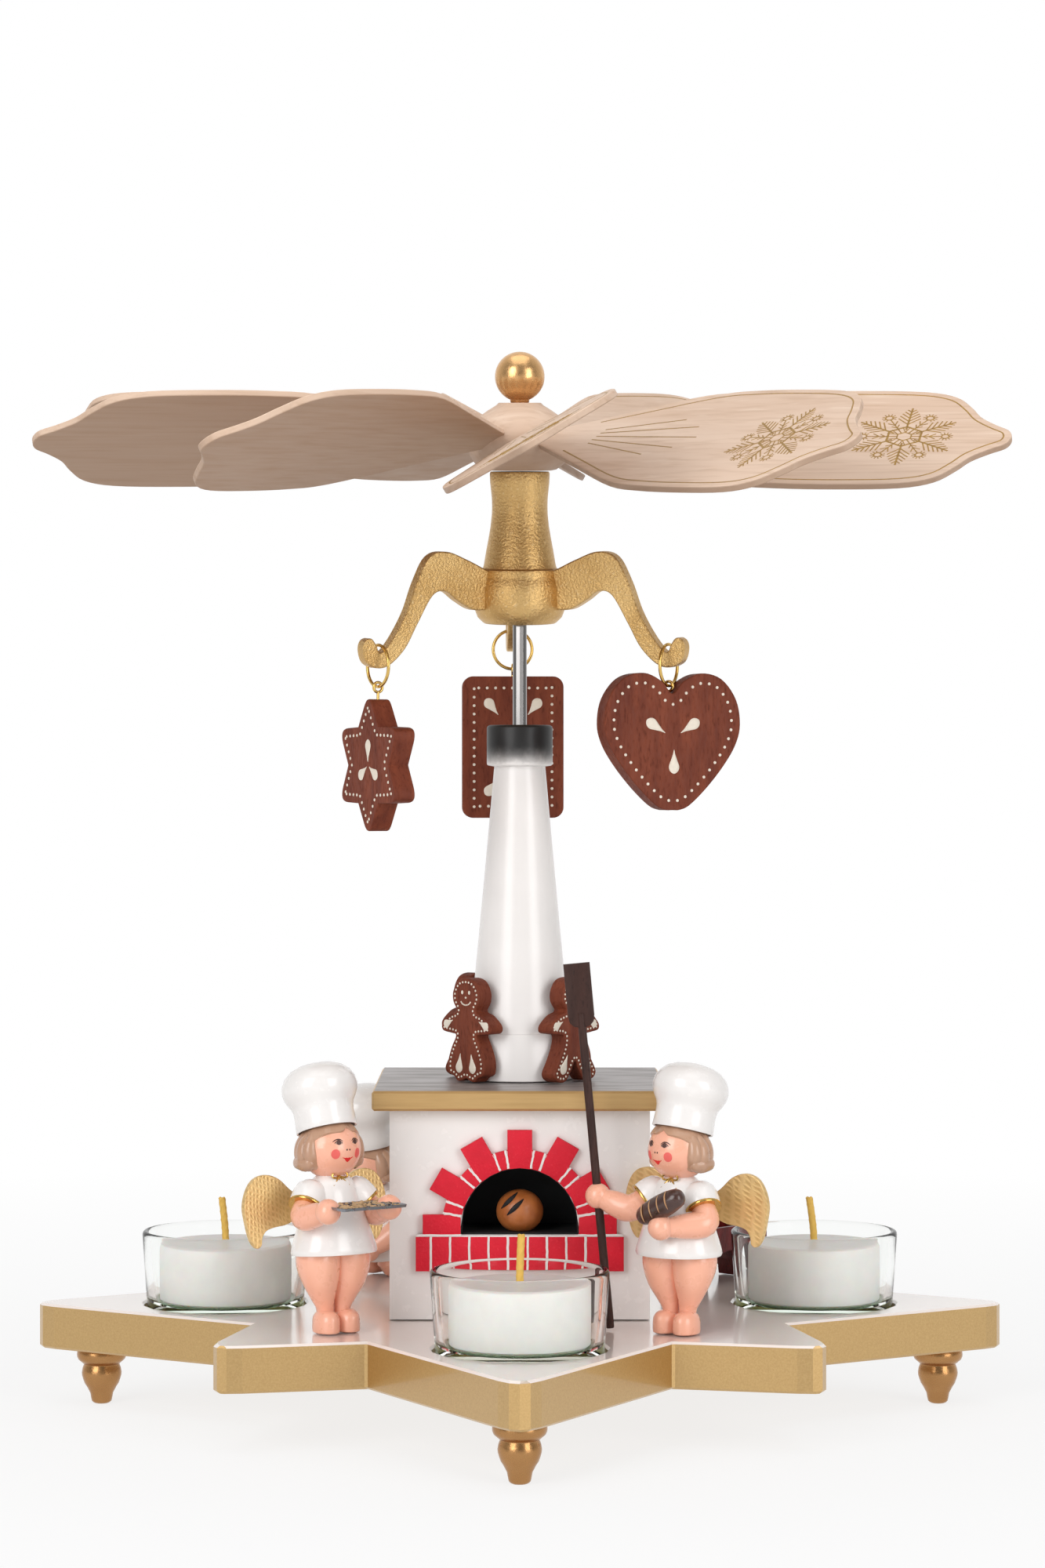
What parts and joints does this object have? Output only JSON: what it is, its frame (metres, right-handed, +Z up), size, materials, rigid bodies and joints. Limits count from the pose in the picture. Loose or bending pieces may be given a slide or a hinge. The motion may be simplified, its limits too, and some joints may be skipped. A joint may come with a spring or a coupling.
{
  "type": "candle carousel",
  "caption": "Table candle carousel: star base with tealight glasses, oven, chimney and figures under a winged spinner with hanging biscuits.",
  "frame": {"origin": "on the floor, under the spindle's axis", "axes": "+Z up along the spindle, -Y towards the oven's front"},
  "size_m": [0.2594, 0.2653, 0.2836],
  "materials": {
    "baked_bread": "painted bread bun",
    "bare_maple": "plain pale wood",
    "brass": "polished wire",
    "brick_red": "matt red paint with white joints",
    "brown_stain": "brown stained wood with white dots",
    "dark_red_wood": "dark red stained wood",
    "dark_wood": "dark brown stained wood",
    "glass": "clear pressed glass",
    "gold_paint": "gold paint on turned or sawn wood",
    "ivory_lacquer": "pale gloss lacquer",
    "skin_paint": "painted figure",
    "steel": "polished rod",
    "wax": "white candle wax",
    "white_lacquer": "white satin lacquer"
  },
  "bodies": {
    "stand": {"base_board": "ivory_lacquer", "foot_front": "gold_paint", "foot_right": "gold_paint", "foot_back": "gold_paint", "foot_left": "gold_paint", "oven_body": "white_lacquer", "oven_top_board": "gold_paint", "brick_arch": "brick_red", "bread_bun": "baked_bread", "chimney": "white_lacquer", "spindle": "steel", "gingerbread_front_left": "brown_stain", "gingerbread_front_right": "brown_stain", "gingerbread_back_right": "brown_stain", "gingerbread_back_left": "brown_stain", "bread_peel": "dark_wood", "baker_tray": "skin_paint", "baker_tray_hat": "white_lacquer", "baker_tray_wings": "gold_paint", "baker_peel": "skin_paint", "baker_peel_hat": "white_lacquer", "baker_peel_wings": "gold_paint", "baker_back": "skin_paint", "baker_back_hat": "white_lacquer", "baker_back_wings": "gold_paint", "kneading_trough": "dark_red_wood"},
    "spinner": {"spindle_bearing": "brass", "spinner_vase": "gold_paint", "arm_back": "gold_paint", "arm_left": "gold_paint", "arm_right": "gold_paint", "wing_hub": "bare_maple", "wing_1": "bare_maple", "wing_2": "bare_maple", "wing_3": "bare_maple", "wing_4": "bare_maple", "wing_5": "bare_maple", "wing_6": "bare_maple", "wing_7": "bare_maple", "wing_8": "bare_maple", "wing_9": "bare_maple", "wing_10": "bare_maple", "top_ball": "gold_paint"},
    "holder_front": {"glass_front": "glass"},
    "tealight_front": {"candle_front": "wax"},
    "holder_right": {"glass_right": "glass"},
    "tealight_right": {"candle_right": "wax"},
    "holder_back": {"glass_back": "glass"},
    "tealight_back": {"candle_back": "wax"},
    "holder_left": {"glass_left": "glass"},
    "tealight_left": {"candle_left": "wax"},
    "hanging_ring_plaque": {"ring_plaque": "brass"},
    "pendant_plaque": {"screw_eye_plaque": "brass", "biscuit_plaque": "brown_stain"},
    "hanging_ring_star": {"ring_star": "brass"},
    "pendant_star": {"screw_eye_star": "brass", "biscuit_star": "brown_stain"},
    "hanging_ring_heart": {"ring_heart": "brass"},
    "pendant_heart": {"screw_eye_heart": "brass", "biscuit_heart": "brown_stain"}
  },
  "joints": [
    {"name": "spinner_turn", "type": "hinge", "parent": "stand", "child": "spinner", "pos_m": [0, 0, 0.2431], "axis": [0, -0.0958, 0.9954], "continuous": true},
    {"name": "ring_plaque_swing", "type": "hinge", "parent": "spinner", "child": "hanging_ring_plaque", "pos_m": [-0.00202, 0.04785, 0.21059], "axis": [-0.999, -0.0454, 0], "range_deg": [-23, 23]},
    {"name": "biscuit_plaque_sway", "type": "hinge", "parent": "hanging_ring_plaque", "child": "pendant_plaque", "pos_m": [-0.00202, 0.04785, 0.20509], "axis": [-0.0454, 0.999, 0], "range_deg": [-20, 20]},
    {"name": "ring_star_swing", "type": "hinge", "parent": "spinner", "child": "hanging_ring_star", "pos_m": [-0.03754, -0.02036, 0.20402], "axis": [0.5388, -0.8425, 0], "range_deg": [-23, 23]},
    {"name": "biscuit_star_sway", "type": "hinge", "parent": "hanging_ring_star", "child": "pendant_star", "pos_m": [-0.03754, -0.02036, 0.19852], "axis": [-0.8425, -0.5388, 0], "range_deg": [-20, 20]},
    {"name": "ring_heart_swing", "type": "hinge", "parent": "spinner", "child": "hanging_ring_heart", "pos_m": [0.03956, -0.01687, 0.20436], "axis": [0.4602, 0.8878, 0], "range_deg": [-23, 23]},
    {"name": "biscuit_heart_sway", "type": "hinge", "parent": "hanging_ring_heart", "child": "pendant_heart", "pos_m": [0.03956, -0.01687, 0.19886], "axis": [0.8878, -0.4602, 0], "range_deg": [-20, 20]},
    {"name": "glass_front_lift", "type": "slide", "parent": "stand", "child": "holder_front", "axis": [0, 0, 1], "range_m": [0, 0.03]},
    {"name": "candle_front_lift", "type": "slide", "parent": "holder_front", "child": "tealight_front", "axis": [0, 0, 1], "range_m": [0, 0.025]},
    {"name": "glass_right_lift", "type": "slide", "parent": "stand", "child": "holder_right", "axis": [0, 0, 1], "range_m": [0, 0.03]},
    {"name": "candle_right_lift", "type": "slide", "parent": "holder_right", "child": "tealight_right", "axis": [0, 0, 1], "range_m": [0, 0.025]},
    {"name": "glass_back_lift", "type": "slide", "parent": "stand", "child": "holder_back", "axis": [0, 0, 1], "range_m": [0, 0.03]},
    {"name": "candle_back_lift", "type": "slide", "parent": "holder_back", "child": "tealight_back", "axis": [0, 0, 1], "range_m": [0, 0.025]},
    {"name": "glass_left_lift", "type": "slide", "parent": "stand", "child": "holder_left", "axis": [0, 0, 1], "range_m": [0, 0.03]},
    {"name": "candle_left_lift", "type": "slide", "parent": "holder_left", "child": "tealight_left", "axis": [0, 0, 1], "range_m": [0, 0.025]}
  ]
}
